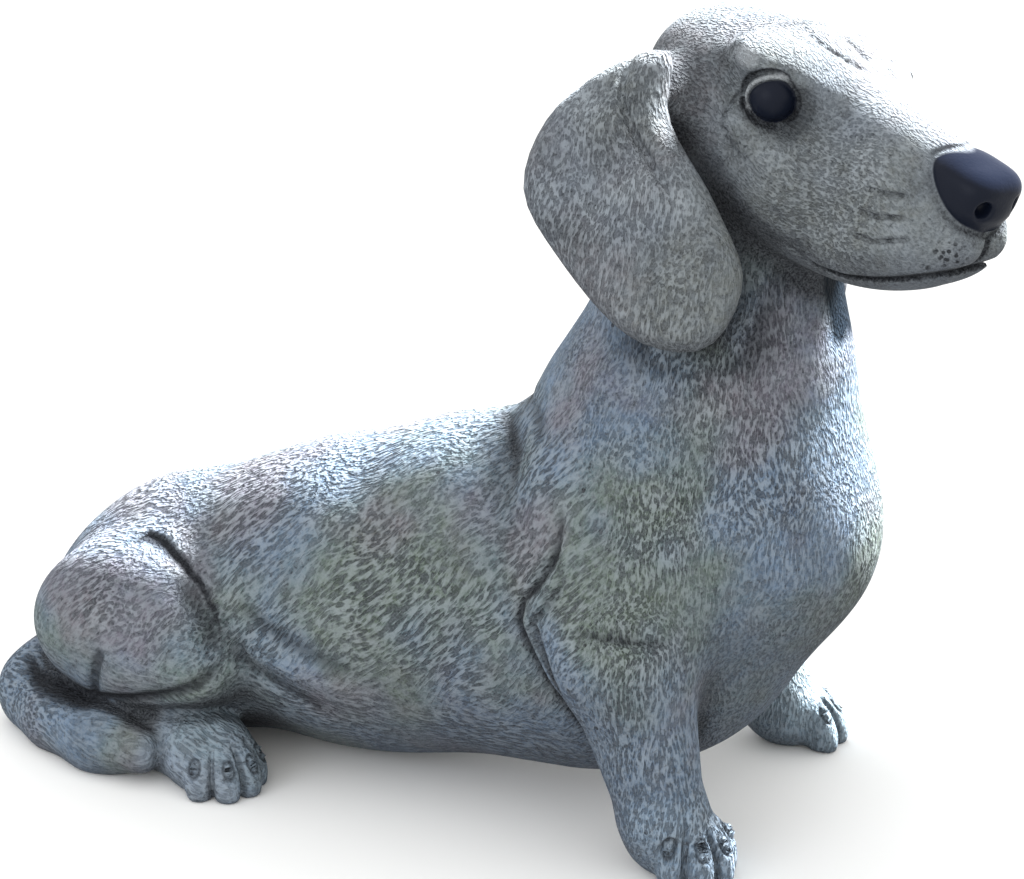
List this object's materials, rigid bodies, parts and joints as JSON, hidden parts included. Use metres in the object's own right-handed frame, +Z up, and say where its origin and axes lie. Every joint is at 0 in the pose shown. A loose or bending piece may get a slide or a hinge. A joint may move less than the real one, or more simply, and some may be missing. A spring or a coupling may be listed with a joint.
{
  "type": "dog statue",
  "caption": "Cast stone garden ornament of a seated dachshund, head turned aside, long ears hanging and tail curled along the floor.",
  "frame": {"origin": "middle of the underside, on the floor", "axes": "+Z up, +X towards the chest and nose, +Y to the dog's left"},
  "size_m": [0.412, 0.166, 0.3097],
  "materials": {
    "cast_stone": "grey cast stone, unpolished, with a darker wash in its hollows"
  },
  "bodies": {
    "root": {"dachshund": "cast_stone"}
  },
  "joints": []
}
